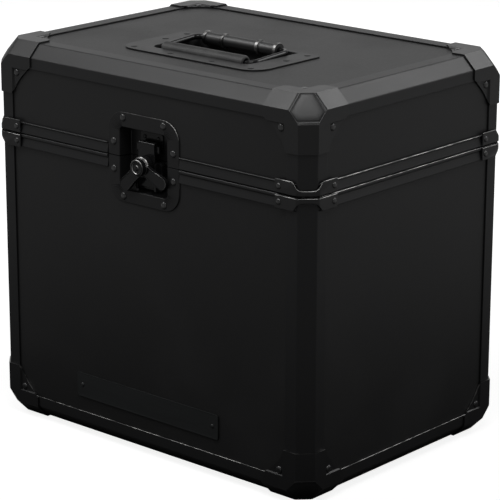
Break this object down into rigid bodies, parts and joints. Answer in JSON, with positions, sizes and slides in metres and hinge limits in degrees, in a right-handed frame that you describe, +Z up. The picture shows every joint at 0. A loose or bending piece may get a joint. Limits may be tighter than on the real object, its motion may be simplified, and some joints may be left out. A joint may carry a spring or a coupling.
{
  "type": "record carrying case",
  "caption": "Boxed carrying case for records, with a hinged lid, metal edge trims and corner caps, a recessed turn latch in front and a folding handle on top.",
  "frame": {"origin": "under the middle of the case, on the plane that the bottom corner caps stand on", "axes": "+X to the right seen from the latch face, -Y out of the latch face, +Z up"},
  "size_m": [0.401, 0.3042, 0.3816],
  "materials": {
    "board": "satin black laminate",
    "trim": "black anodised",
    "hardware": "black powder coat, satin",
    "latch": "gloss black",
    "rubber": "matt black",
    "plate": "dark satin",
    "pad": "matt black foam"
  },
  "bodies": {
    "base": {"floor_panel": "board", "base_front_panel": "board", "base_back_panel": "board", "base_left_panel": "board", "base_right_panel": "board", "base_rim": "trim", "base_post_front_left": "trim", "base_post_front_right": "trim", "base_post_rear_left": "trim", "base_post_rear_right": "trim", "base_valance_front_left": "trim", "base_valance_front_right": "trim", "base_valance_back": "trim", "base_valance_left": "trim", "base_valance_right": "trim", "base_cap_front_left": "hardware", "base_cap_front_right": "hardware", "base_cap_rear_left": "hardware", "base_cap_rear_right": "hardware", "base_brace_front_left": "hardware", "base_brace_front_right": "hardware", "base_brace_rear_left": "hardware", "base_brace_rear_right": "hardware", "latch_dish_lower": "hardware", "blank_plate": "plate", "floor_pad": "pad", "hinge_leaf_base_left": "hardware", "hinge_leaf_base_right": "hardware"},
    "lid": {"top_panel": "board", "lid_front_panel": "board", "lid_back_panel": "board", "lid_left_panel": "board", "lid_right_panel": "board", "lid_rim": "trim", "lid_post_front_left": "trim", "lid_post_front_right": "trim", "lid_post_rear_left": "trim", "lid_post_rear_right": "trim", "lid_valance_front_left": "trim", "lid_valance_front_right": "trim", "lid_valance_back": "trim", "lid_valance_left": "trim", "lid_valance_right": "trim", "lid_cap_front_left": "hardware", "lid_cap_front_right": "hardware", "lid_cap_rear_left": "hardware", "lid_cap_rear_right": "hardware", "lid_brace_front_left": "hardware", "lid_brace_front_right": "hardware", "lid_brace_rear_left": "hardware", "lid_brace_rear_right": "hardware", "latch_dish_upper": "hardware", "latch_keeper": "latch", "handle_dish": "hardware", "hinge_leaf_lid_left": "hardware", "hinge_leaf_lid_right": "hardware"},
    "butterfly": {"latch_butterfly": "latch"},
    "hook": {"latch_hook": "latch"},
    "handle": {"handle_bail": "latch", "handle_grip": "rubber"}
  },
  "joints": [
    {"name": "lid_hinge", "type": "hinge", "parent": "base", "child": "lid", "pos_m": [0, 0.148, 0.2866], "axis": [-1, 0, 0], "range_deg": [0, 105]},
    {"name": "latch_turn", "type": "hinge", "parent": "base", "child": "butterfly", "pos_m": [0, -0.143, 0.2819], "axis": [0, -1, 0], "range_deg": [0, 180]},
    {"name": "hook_lift", "type": "slide", "parent": "base", "child": "hook", "axis": [0, 0, 1], "range_m": [0, 0.0076]},
    {"name": "handle_swing", "type": "hinge", "parent": "lid", "child": "handle", "pos_m": [0, -0.007, 0.3746], "axis": [-1, 0, 0], "range_deg": [0, 90]}
  ],
  "couplings": [
    {"joint": "hook_lift", "follows": "latch_turn", "m_per_rad": 0.002419}
  ]
}
